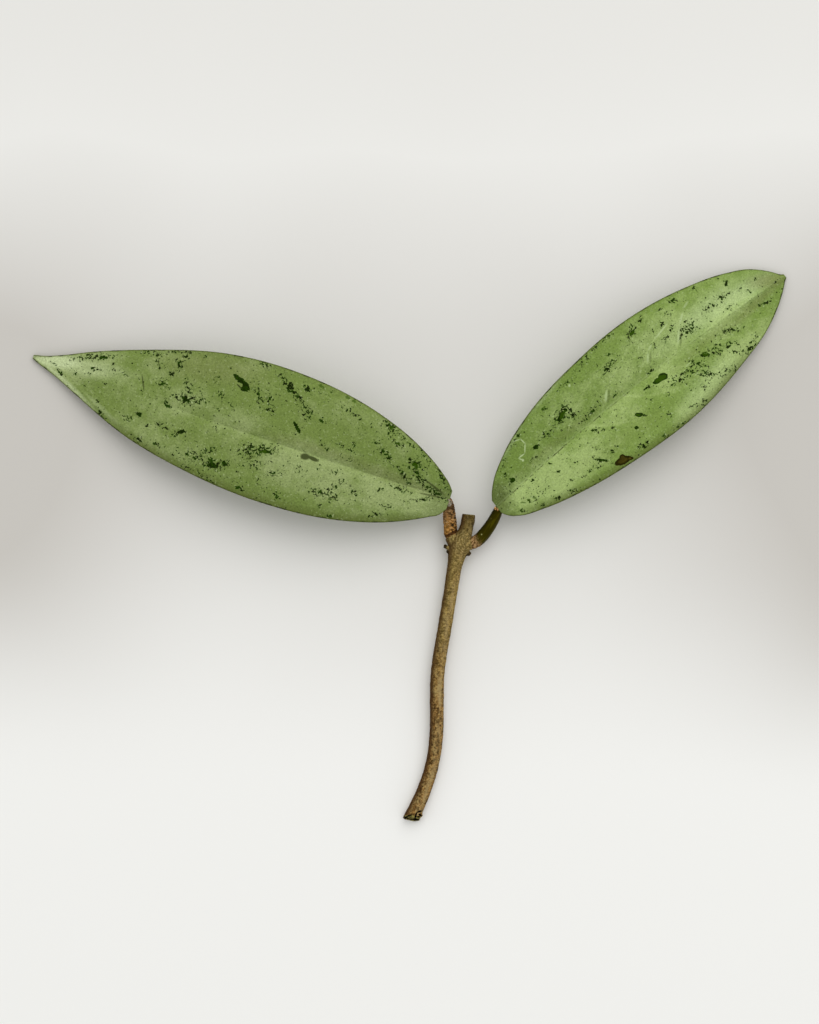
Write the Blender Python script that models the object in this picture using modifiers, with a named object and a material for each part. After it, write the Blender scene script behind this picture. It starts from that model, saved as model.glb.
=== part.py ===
# A hoya stem cutting that lies on a flat surface: a woody stem cut at both ends, with one
# swollen node that carries two petioles, and a leaf blade on each petiole.
# Metres, +Z up. +X runs from the left leaf to the right one, +Y from the stem's lower cut
# towards the leaf tips. The origin is under the middle of the cutting, on the surface.

import math

import bmesh
import bpy
import numpy as np
from mathutils import Matrix, Vector

MM = 0.001

# Driving dimensions, in millimetres
GAP = 0.3
BLADE_THICKNESS = 1.5
MARGIN_THICKNESS = 0.85
FULL_BODY_WIDTH = 8
KEEL_THICKNESS = 2.6
KEEL_HALF_WIDTH = 1.7
MARGIN_ROLL = 0.7
FULL_ROLL_WIDTH = 10
FOLD_EASE = 0.35
ROWS_ALONG = 34
ROWS_ACROSS = 14
STEM_STEP = 1.8
PETIOLE_STEP = 0.9
TUBE_SIDES = 12
WELD = 0.001
SHORTEST_EDGE = 0.04

# Places along a blade, as shares of its length from the base to the tip
EDGE_SHARES = (0, 0.01, 0.03, 0.1, 0.22, 0.4, 0.58, 0.76, 0.88, 0.94, 0.98, 1)
RISE_SHARES = (0, 0.12, 0.36, 0.62, 0.82, 0.93, 1)
FOLD_SHARES = (0, 0.1, 0.3, 0.5, 0.65, 0.85, 1)

# Each blade: its base and tip on the surface's plan, how far its midrib bows to the left of a
# straight line, the half widths to the left and right of the midrib, the height of the
# midrib's top, and the angle at which the two halves rise from the midrib. Left and right
# are as seen from above, looking from the base to the tip.
LEAVES = {
    "leaf_left": {
        "base": (10.7, 12.5),
        "tip": (-99.9, 50.4),
        "bow": 0.85,
        "left": (3.2, 4.7, 6.1, 10.1, 14.3, 16.4, 15.1, 11.0, 5.7, 2.9, 1.5, 0.8),
        "right": (2.4, 3.7, 5.7, 10.9, 16.3, 19.6, 18.4, 12.2, 6.5, 3.1, 1.2, 0.6),
        "rise": (7.8, 9.4, 11.2, 9.6, 5.4, 2.2, 0.93),
        "fold": (10, 13, 9, 4, 0, -9, 0),
        "wave": 0.35,
        "waves": 3.4,
    },
    "leaf_right": {
        "base": (23.3, 10.4),
        "tip": (99.8, 72.0),
        "bow": 2.1,
        "left": (2.1, 3.4, 5.2, 9.0, 12.6, 14.9, 15.4, 13.0, 9.6, 6.6, 2.8, 0.6),
        "right": (2.2, 3.8, 5.6, 9.0, 12.7, 15.6, 16.1, 12.8, 8.8, 5.3, 2.3, 0.6),
        "rise": (7.8, 9.3, 11.0, 9.3, 5.6, 2.5, 0.9),
        "fold": (10, 14, 11, 4, -3, -11, 0),
        "wave": 0.3,
        "waves": 2.6,
    },
}

# Paths of the round pieces: x, y, height of the axis, radius
STEM_PATH = (
    (-0.9, -75.6, 1.70, 1.90),
    (0.8, -72.3, 1.72, 1.90),
    (4.1, -64.6, 1.90, 1.80),
    (6.3, -57.2, 2.15, 1.74),
    (7.2, -49.7, 2.40, 1.78),
    (7.3, -42.2, 2.60, 1.81),
    (7.4, -35.5, 2.75, 1.80),
    (9.6, -20.5, 3.05, 1.79),
    (11.4, -9.6, 3.35, 1.83),
    (12.2, -4.5, 3.50, 2.00),
    (12.8, -2.0, 3.60, 2.40),
    (13.5, 0.7, 3.70, 2.75),
    (14.2, 2.4, 3.80, 2.30),
    (14.9, 4.0, 3.85, 1.78),
    (15.7, 7.7, 4.00, 1.65),
    (15.9, 8.5, 4.05, 1.73),
)
LOWER_CUT_POINT = (0.3, -73.45, 0)
LOWER_CUT_NORMAL = (-0.14, -0.99, 0)

# The node's shoulders: where each petiole sits, which way its face looks, and its radius
SEATS = {
    "petiole_left": {"point": (11.1, 2.7, 3.9), "facing": (-0.5, 0.86, 0.06), "radius": 1.72},
    "petiole_right": {"point": (16.5, 0.5, 3.9), "facing": (1.0, 0.1, 0.06), "radius": 1.78},
}
SHOULDER_LENGTH = 3.0
PETIOLE_FOOT = 1.0

# Each petiole beyond its seat: x, y, height of the axis, radius
PETIOLE_PATHS = {
    "petiole_left": (
        (10.65, 5.2, 4.05, 1.70),
        (10.85, 7.2, 4.20, 1.67),
        (10.7, 9.3, 4.45, 1.50),
        (10.35, 11.4, 5.00, 1.00),
        (9.75, 12.6, 5.30, 0.85),
    ),
    "petiole_right": (
        (19.0, 1.6, 4.05, 1.74),
        (20.5, 3.4, 4.10, 1.63),
        (22.1, 6.0, 4.30, 1.45),
        (23.2, 8.3, 4.60, 1.25),
        (23.5, 10.0, 5.05, 0.90),
        (24.0, 11.0, 5.35, 0.80),
    ),
}

# The old stalk remains under the node: root on the stem's side, end, and root radius
NUBS = (
    ((11.6, -1.1, 3.7), (9.3, -0.1, 4.1), 0.55),
    ((11.6, -1.0, 3.7), (9.9, -2.0, 3.6), 0.5),
    ((14.6, -0.9, 3.7), (16.1, -2.3, 3.9), 0.5),
)
NUB_TAPER = 0.55
NUB_SIDES = 6

# Colour (linear), roughness and metallic value of each piece
FINISHES = {
    "stem": ((0.19, 0.13, 0.05), 0.85, 0.0),
    "petiole_left": ((0.19, 0.10, 0.04), 0.8, 0.0),
    "petiole_right": ((0.06, 0.055, 0.01), 0.4, 0.0),
    "leaf_left": ((0.2, 0.27, 0.09), 0.5, 0.0),
    "leaf_right": ((0.24, 0.35, 0.11), 0.5, 0.0),
}


def through(places, stations, values):
    """The values at the given places of a smooth curve through the stations."""
    stations = np.asarray(stations, float)
    values = np.asarray(values, float)
    slopes = np.gradient(values, stations)
    i = np.clip(np.searchsorted(stations, places, side="right") - 1, 0, len(stations) - 2)
    span = stations[i + 1] - stations[i]
    t = (places - stations[i]) / span
    start = (1 + 2 * t) * (1 - t) ** 2 * values[i] + t * (1 - t) ** 2 * span * slopes[i]
    end = t * t * (3 - 2 * t) * values[i + 1] + t * t * (t - 1) * span * slopes[i + 1]
    return start + end


def finish_of(name):
    """The piece's own material."""
    colour, roughness, metallic = FINISHES[name]
    material = bpy.data.materials.new(name + "_finish")
    material.use_nodes = True
    shader = material.node_tree.nodes["Principled BSDF"]
    shader.inputs["Base Color"].default_value = (*colour, 1)
    shader.inputs["Roughness"].default_value = roughness
    shader.inputs["Metallic"].default_value = metallic
    material.diffuse_color = (*colour, 1)
    return material


def add_piece(collection, parent, piece):
    """Put a finished piece in the collection, with its own material."""
    collection.objects.link(piece)
    piece.parent = parent
    piece.data.materials.clear()
    piece.data.materials.append(finish_of(piece.name))


def half_width(leaf, share, across):
    """The blade's half width on the side that across lies on, in millimetres."""
    side = "left" if across > 0 else "right"
    return float(through(share, EDGE_SHARES, leaf[side]))


def top_height(leaf, share, across):
    """The height of the blade's upper face: its arch, fold, rolled margin and gentle wave."""
    width = half_width(leaf, share, across)
    aside = abs(across)
    arch = float(through(share, RISE_SHARES, leaf["rise"]))
    fold = math.radians(float(through(share, FOLD_SHARES, leaf["fold"])))
    folded = math.tan(fold) * width * (aside - FOLD_EASE * aside**2)
    rolled = MARGIN_ROLL * min(1, width / FULL_ROLL_WIDTH) ** 2 * aside**6
    waving = leaf["wave"] * math.sin(math.tau * leaf["waves"] * share) * math.sin(math.pi * share)
    return arch + folded - rolled + waving * across * aside


def thickness_at(leaf, share, across):
    """The blade's thickness: thin at the margin, with a keel under the midrib."""
    width = half_width(leaf, share, across)
    body = (BLADE_THICKNESS - MARGIN_THICKNESS) * min(1, width / FULL_BODY_WIDTH)
    keel = (KEEL_THICKNESS - BLADE_THICKNESS) * math.sin(math.pi * share**0.6) ** 0.7
    keel *= math.exp(-((across * width / KEEL_HALF_WIDTH) ** 2))
    return MARGIN_THICKNESS + body * (1 - abs(across) ** 3) + keel


def make_blade(name, leaf):
    """A leaf blade: a grid shaped by the leaf's widths and heights, thickened downwards.

    Its rows crowd towards the base and the tip. across runs from -1 at the right margin
    over 0 at the midrib to 1 at the left margin.
    """
    base = Vector(leaf["base"])
    tip = Vector(leaf["tip"])
    length = (tip - base).length
    heading = math.atan2(tip.y - base.y, tip.x - base.x)
    mesh = bpy.data.meshes.new(name)
    piece = bpy.data.objects.new(name, mesh)
    piece.vertex_groups.new(name="thickness")
    bm = bmesh.new()
    bmesh.ops.create_grid(bm, x_segments=ROWS_ALONG, y_segments=ROWS_ACROSS, size=1)
    weights = bm.verts.layers.deform.verify()
    for vert in bm.verts:
        share = (1 + math.sin(vert.co.x * math.pi / 2)) / 2
        across = vert.co.y
        bow = leaf["bow"] * 4 * share * (1 - share)
        aside = bow + across * half_width(leaf, share, across)
        vert.co = Vector((length * share, aside, top_height(leaf, share, across))) * MM
        vert[weights][0] = thickness_at(leaf, share, across) / KEEL_THICKNESS
    bmesh.ops.triangulate(bm, faces=bm.faces)
    bm.to_mesh(mesh)
    bm.free()
    mesh.shade_smooth()
    piece.location = (base.x * MM, base.y * MM, 0)
    piece.rotation_euler = (0, 0, heading)
    solid = piece.modifiers.new("Thickness", "SOLIDIFY")
    solid.thickness = KEEL_THICKNESS * MM
    solid.offset = -1
    solid.vertex_group = "thickness"
    solid.use_rim = True
    return piece


def make_tube(name, stations, step):
    """A round curve with capped ends through (x, y, height, radius) stations."""
    stations = np.asarray(stations, float)
    steps = np.linalg.norm(np.diff(stations[:, :3], axis=0), axis=1)
    along = np.concatenate(([0], np.cumsum(steps)))
    count = max(3, round(along[-1] / step) + 1)
    places = np.linspace(0, along[-1], count)
    points = np.stack([through(places, along, stations[:, k]) for k in range(4)], axis=1)
    curve = bpy.data.curves.new(name, "CURVE")
    curve.dimensions = "3D"
    curve.bevel_depth = MM
    curve.bevel_resolution = (TUBE_SIDES - 4) // 2
    curve.use_fill_caps = True
    spline = curve.splines.new("POLY")
    spline.points.add(count - 1)
    for point, (x, y, z, radius) in zip(spline.points, points):
        point.co = (x * MM, y * MM, z * MM, 1)
        point.radius = radius
    return bpy.data.objects.new(name, curve)


def make_mesh_of(curve_piece):
    """A closed mesh object in place of a capped curve."""
    name = curve_piece.name
    bpy.context.scene.collection.objects.link(curve_piece)
    evaluated = curve_piece.evaluated_get(bpy.context.evaluated_depsgraph_get())
    mesh = bpy.data.meshes.new_from_object(evaluated)
    bm = bmesh.new()
    bm.from_mesh(mesh)
    bmesh.ops.remove_doubles(bm, verts=bm.verts, dist=WELD * MM)
    bm.to_mesh(mesh)
    bm.free()
    matrix = curve_piece.matrix_world.copy()
    bpy.data.objects.remove(curve_piece)
    piece = bpy.data.objects.new(name, mesh)
    piece.matrix_world = matrix
    return piece


def cut_flat(piece, point, normal):
    """Cut away what lies beyond a plane, and close the cut."""
    bm = bmesh.new()
    bm.from_mesh(piece.data)
    cut = bmesh.ops.bisect_plane(
        bm,
        geom=bm.verts[:] + bm.edges[:] + bm.faces[:],
        dist=WELD * MM,
        plane_co=Vector(point) * MM,
        plane_no=normal,
        clear_outer=True,
    )
    rim = [item for item in cut["geom_cut"] if isinstance(item, bmesh.types.BMEdge)]
    bmesh.ops.edgeloop_fill(bm, edges=rim)
    bmesh.ops.recalc_face_normals(bm, faces=bm.faces)
    bm.to_mesh(piece.data)
    bm.free()


def make_shoulder(name, seat):
    """The swelling of the node that ends in the petiole's seat."""
    point = Vector(seat["point"])
    root = point - Vector(seat["facing"]).normalized() * SHOULDER_LENGTH
    radius = seat["radius"]
    stations = [(*root, radius), (*point, radius)]
    return make_mesh_of(make_tube(name + "_shoulder", stations, STEM_STEP))


def make_nub(name, root, end, radius):
    """A small tapered stalk remain."""
    root = Vector(root)
    end = Vector(end)
    reach = end - root
    turn = reach.to_track_quat("Z", "Y").to_matrix().to_4x4()
    bm = bmesh.new()
    bmesh.ops.create_cone(
        bm,
        cap_ends=True,
        segments=NUB_SIDES,
        radius1=radius * MM,
        radius2=radius * NUB_TAPER * MM,
        depth=reach.length * MM,
        matrix=Matrix.Translation((root + end) / 2 * MM) @ turn,
    )
    mesh = bpy.data.meshes.new(name)
    bm.to_mesh(mesh)
    bm.free()
    return bpy.data.objects.new(name, mesh)


def join_to(piece, additions, collection):
    """Fuse the additions to the piece, and remove them."""
    extras = bpy.data.collections.new("node_details")
    bpy.context.scene.collection.children.link(extras)
    for addition in additions:
        extras.objects.link(addition)
    collection.objects.link(piece)
    union = piece.modifiers.new("Union", "BOOLEAN")
    union.operation = "UNION"
    union.operand_type = "COLLECTION"
    union.collection = extras
    union.solver = "EXACT"
    evaluated = piece.evaluated_get(bpy.context.evaluated_depsgraph_get())
    fused = bpy.data.meshes.new_from_object(evaluated)
    piece.modifiers.clear()
    piece.data = fused
    collection.objects.unlink(piece)
    for addition in additions:
        bpy.data.objects.remove(addition)
    bpy.data.collections.remove(extras)


def clear_slivers(piece):
    """Split the faces into triangles, without the shortest edges that a union leaves."""
    bm = bmesh.new()
    bm.from_mesh(piece.data)
    bmesh.ops.triangulate(bm, faces=bm.faces)
    bmesh.ops.remove_doubles(bm, verts=bm.verts, dist=SHORTEST_EDGE * MM)
    bm.to_mesh(piece.data)
    bm.free()


def make_stem(collection):
    """The woody stem, with its lower cut, its node, the stub above it and the stalk remains."""
    stem = make_mesh_of(make_tube("stem", STEM_PATH, STEM_STEP))
    cut_flat(stem, LOWER_CUT_POINT, LOWER_CUT_NORMAL)
    additions = [make_shoulder(name, seat) for name, seat in SEATS.items()]
    additions += [make_nub(f"nub_{k}", *nub) for k, nub in enumerate(NUBS)]
    join_to(stem, additions, collection)
    clear_slivers(stem)
    cut_flat(stem, (0, 0, 0), (0, 0, -1))
    return stem


def make_petiole(name):
    """A leaf stalk, from just clear of its seat on the node to under its blade's base."""
    seat = SEATS[name]
    facing = Vector(seat["facing"]).normalized()
    start = Vector(seat["point"]) + facing * GAP
    foot = start + facing * PETIOLE_FOOT
    stations = [(*start, seat["radius"]), (*foot, seat["radius"]), *PETIOLE_PATHS[name]]
    return make_tube(name, stations, PETIOLE_STEP)


def main():
    for old in list(bpy.data.objects):
        bpy.data.objects.remove(old)
    collection = bpy.data.collections.new("hoya_cutting")
    bpy.context.scene.collection.children.link(collection)
    holder = bpy.data.objects.new("cutting", None)
    collection.objects.link(holder)
    add_piece(collection, holder, make_stem(collection))
    for name in SEATS:
        add_piece(collection, holder, make_petiole(name))
    for name, leaf in LEAVES.items():
        add_piece(collection, holder, make_blade(name, leaf))


main()
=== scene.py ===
import math

import bmesh
import bpy
import numpy as np
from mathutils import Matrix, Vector, noise


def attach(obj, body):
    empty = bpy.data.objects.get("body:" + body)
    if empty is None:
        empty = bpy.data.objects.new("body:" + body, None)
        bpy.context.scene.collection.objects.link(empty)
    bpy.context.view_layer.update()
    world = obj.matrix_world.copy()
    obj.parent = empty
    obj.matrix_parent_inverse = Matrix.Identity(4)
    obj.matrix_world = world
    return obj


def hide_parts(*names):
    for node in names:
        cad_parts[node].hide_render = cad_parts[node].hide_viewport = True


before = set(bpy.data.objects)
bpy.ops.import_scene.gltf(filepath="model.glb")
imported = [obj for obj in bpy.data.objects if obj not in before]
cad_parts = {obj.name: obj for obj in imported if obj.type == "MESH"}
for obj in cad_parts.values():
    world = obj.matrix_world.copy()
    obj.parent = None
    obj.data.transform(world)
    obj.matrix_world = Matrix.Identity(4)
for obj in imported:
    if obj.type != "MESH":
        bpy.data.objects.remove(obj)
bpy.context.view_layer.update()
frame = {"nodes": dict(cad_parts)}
mm = 0.001  # sizes below are in millimetres
print("Frame loaded:", ", ".join(frame["nodes"]))


# Selecting and shaping, as in the viewport

def deselectAll():
    if bpy.context.object and bpy.context.object.mode != "OBJECT":
        bpy.ops.object.mode_set(mode="OBJECT")
    bpy.ops.object.select_all(action="DESELECT")


def pick(obj):  # make one object the only selected one
    deselectAll()
    obj.select_set(True)
    bpy.context.view_layer.objects.active = obj


def startEditing(obj):
    pick(obj)
    bpy.ops.object.mode_set(mode="EDIT")
    bpy.ops.mesh.select_mode(type="VERT")
    bpy.ops.mesh.select_all(action="DESELECT")


def selectWhere(obj, test):  # in edit mode, select the vertices whose place passes the test
    cage = bmesh.from_edit_mesh(obj.data)
    for vert in cage.verts:
        vert.select_set(test(vert.co))
    cage.select_flush(True)
    cage.select_flush(False)
    bmesh.update_edit_mesh(obj.data)


def addModifier(obj, kind, **settings):  # add a modifier and apply it at once
    pick(obj)
    modifier = obj.modifiers.new(kind.title(), kind)
    for name, value in settings.items():
        setattr(modifier, name, value)
    bpy.ops.object.modifier_apply(modifier=modifier.name)


def smoothThrough(place, stations, values):  # a smooth curve through the stations
    stations = np.asarray(stations, float)
    values = np.asarray(values, float)
    slopes = np.gradient(values, stations)
    left = np.clip(np.searchsorted(stations, place, side="right") - 1, 0, len(stations) - 2)
    span = stations[left + 1] - stations[left]
    t = (place - stations[left]) / span
    start = (1 + 2 * t) * (1 - t) ** 2 * values[left] + t * (1 - t) ** 2 * span * slopes[left]
    end = t * t * (3 - 2 * t) * values[left + 1] + t * t * (t - 1) * span * slopes[left + 1]
    return start + end


def readRows(items, name):  # three numbers for every vertex
    flat = np.empty(len(items) * 3)
    items.foreach_get(name, flat)
    return flat.reshape(-1, 3)


def vertexPlaces(obj):  # in mm
    return readRows(obj.data.vertices, "co") / mm


def vertexNormals(obj):
    return readRows(obj.data.vertex_normals, "vector")


def relief(obj, heights, strength, direction="NORMAL"):  # raise the surface by weights from 0 to 1
    group = obj.vertex_groups.new(name="relief")
    for index, height in enumerate(heights):
        group.add([index], float(min(max(height, 0), 1)), "REPLACE")
    addModifier(obj, "DISPLACE", strength=strength * mm, mid_level=0, vertex_group="relief",
                direction=direction)
    obj.vertex_groups.remove(obj.vertex_groups["relief"])


def paint(obj, **masks):  # keep values for each vertex, for the material to read
    for name, values in masks.items():
        layer = obj.data.attributes.new(name, "FLOAT", "POINT")
        layer.data.foreach_set("value", np.asarray(values, np.float32))


def ovals(places, marks, spread=1.0):  # x, y, length, width, turn, strength; below 0 it cuts a hole
    field = np.zeros(len(places))
    for x, y, length, width, turn, strength in marks:
        cosine, sine = math.cos(math.radians(turn)), math.sin(math.radians(turn))
        dx, dy = places[:, 0] - x, places[:, 1] - y
        reach = np.hypot((dx * cosine + dy * sine) / length, (dy * cosine - dx * sine) / width) * 2
        oval = np.clip((0.5 + spread - reach) / spread, 0, 1)
        if strength < 0:
            field *= 1 - oval
        else:
            field = np.maximum(field, strength * oval)
    return field


def roughness(places, stretch, octaves):  # a natural unevenness from 0 to 1
    values = [noise.fractal(Vector(place * stretch), 1.0, 2.0, octaves) for place in places]
    return np.clip(0.5 + 0.6 * np.array(values), 0, 1)


def ease(values, low, high):
    t = np.clip((values - low) / (high - low), 0, 1)
    return t * t * (3 - 2 * t)


def settle(obj, node):  # place into the mesh, shaded, and tied to the part
    pick(obj)
    bpy.ops.object.transform_apply(location=True, rotation=True, scale=True)
    bpy.ops.object.shade_smooth()
    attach(obj, "root")
    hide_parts(node)


# Materials: a socket that takes part in Python sums

class Wire:
    def __init__(self, tree, socket=None):
        self.tree = tree
        self.socket = socket

    def node(self, kind, settings=None, sockets=None, output=0):  # any node: settings first, then sockets
        made = self.tree.nodes.new(kind)
        for name, value in (settings or {}).items():
            setattr(made, name, value)
        for name, value in (sockets or {}).items():
            if isinstance(value, Wire):
                self.tree.links.new(value.socket, made.inputs[name])
            else:
                made.inputs[name].default_value = value
        return Wire(self.tree, made.outputs[output])

    def sum(self, operation, *values):
        return self.node("ShaderNodeMath", {"operation": operation}, dict(enumerate(values)))

    def __add__(self, other):
        return self.sum("ADD", self, other)

    __radd__ = __add__

    def __sub__(self, other):
        return self.sum("SUBTRACT", self, other)

    def __rsub__(self, other):
        return self.sum("SUBTRACT", other, self)

    def __mul__(self, other):
        return self.sum("MULTIPLY", self, other)

    __rmul__ = __mul__

    def __abs__(self):
        return self.sum("ABSOLUTE", self)

    def most(self, other):
        return self.sum("MAXIMUM", self, other)

    def ease(self, low, high):  # 0 below low, 1 above high, smooth between
        settings = {"interpolation_type": "SMOOTHSTEP"}
        return self.node("ShaderNodeMapRange", settings, {0: self, 1: low, 2: high, 3: 0.0, 4: 1.0})

    def mix(self, under, colour):  # this value says how much the colour covers what is under it
        sockets = {0: self}
        for socket, value in ((6, under), (7, colour)):
            sockets[socket] = value if isinstance(value, Wire) else (*value, 1)
        return self.node("ShaderNodeMix", {"data_type": "RGBA"}, sockets, 2)

    def coated(self, *coats):  # coats laid on this colour in turn, each behind its mask
        colour = self
        for mask, coat in coats:
            colour = mask.mix(colour, coat)
        return colour

    def shade(self, factor):  # a colour made lighter or darker
        return self.node("ShaderNodeVectorMath", {"operation": "SCALE"}, {0: self, 3: factor})

    def noise(self, scale, detail=2.0, roughness=0.5, stretch=None, distortion=0.0):
        vector = self
        if stretch:
            vector = self.node("ShaderNodeMapping", None, {"Vector": vector, "Scale": stretch})
        sockets = {"Vector": vector, "Scale": scale, "Detail": detail, "Roughness": roughness,
                   "Distortion": distortion}
        return self.node("ShaderNodeTexNoise", None, sockets)

    def cells(self, scale):  # distance to the nearest of scattered points
        return self.node("ShaderNodeTexVoronoi", None, {"Vector": self, "Scale": scale}, "Distance")

    def part(self, axis):  # one coordinate of a vector
        return self.node("ShaderNodeSeparateXYZ", None, {0: self}, axis)

    def painted(self, name):  # a value kept on the piece's vertices
        return self.node("ShaderNodeAttribute", {"attribute_name": name}, None, "Fac")

    def place(self, centre=(0, 0, 0), turn=0.0, size=(1, 1, 1)):  # place on the piece in mm, from a centre
        position = self.node("ShaderNodeTexCoord", None, None, "Object")
        sockets = {"Vector": position, "Location": [c * mm for c in centre],
                   "Rotation": (0, 0, turn), "Scale": [s * mm for s in size]}
        return self.node("ShaderNodeMapping", {"vector_type": "TEXTURE"}, sockets)

    def length(self):
        return self.node("ShaderNodeVectorMath", {"operation": "LENGTH"}, {0: self}, "Value")

    def bump(self, distance):
        return self.node("ShaderNodeBump", None, {"Height": self, "Distance": distance * mm})


def newMaterial(name):
    material = bpy.data.materials.new(name)
    material.use_nodes = True
    return material, Wire(material.node_tree)


def finishMaterial(material, colour, rough, normal=None, gloss=()):  # feed the Principled shader
    shader = material.node_tree.nodes["Principled BSDF"]
    for name, value in (("Base Color", colour), ("Roughness", rough), ("Normal", normal)):
        if isinstance(value, Wire):
            material.node_tree.links.new(value.socket, shader.inputs[name])
        elif value:
            shader.inputs[name].default_value = value
    for name, value in zip(("Specular IOR Level", "Specular Tint"), gloss):
        shader.inputs[name].default_value = value
    return material


# Leaf blades. Marks on them are x, y, length, width, turn in degrees, and strength, which is
# the key of each group of flecks

leafShares = (0, 0.01, 0.03, 0.1, 0.22, 0.4, 0.58, 0.76, 0.88, 0.94, 0.98, 0.992, 1)
riseShares = (0, 0.12, 0.36, 0.62, 0.82, 0.93, 1)
foldShares = (0, 0.1, 0.3, 0.5, 0.65, 0.85, 1)

bladeBuild = {
    "rows": 96,
    "aside": 1.0,  # rows wait here, in metres, until each is shaped
    "columnPlaces": (0.05, 0.11, 0.18, 0.26, 0.35, 0.44, 0.54, 0.64, 0.74, 0.84, 0.93, 1),
    "bladeThickness": 1.4,
    "marginThickness": 0.7,
    "keelThickness": 2.5,
    "keelHalfWidth": 1.6,
    "foldEase": 0.35,
    "bodyFullAt": 8,  # half widths in mm from which body, roll and groove are full
    "rollFullAt": 10,
    "grooveFullAt": 12,
    "marginRoll": 0.6,
    "rollSteps": ((0.83, 0.35), (0.92, 0.65)),  # place across and share of the roll
    "groove": 0.05,
    "waveScale": 0.07,  # waves per mm
    "levels": 2,
    "wedgeDepth": 0.16,
    "veinSpacing": 12.5,
    "veinLean": 0.8,  # how far a vein leans to the tip as it leaves the midrib
    "veinCurve": 0.11,
}

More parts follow.
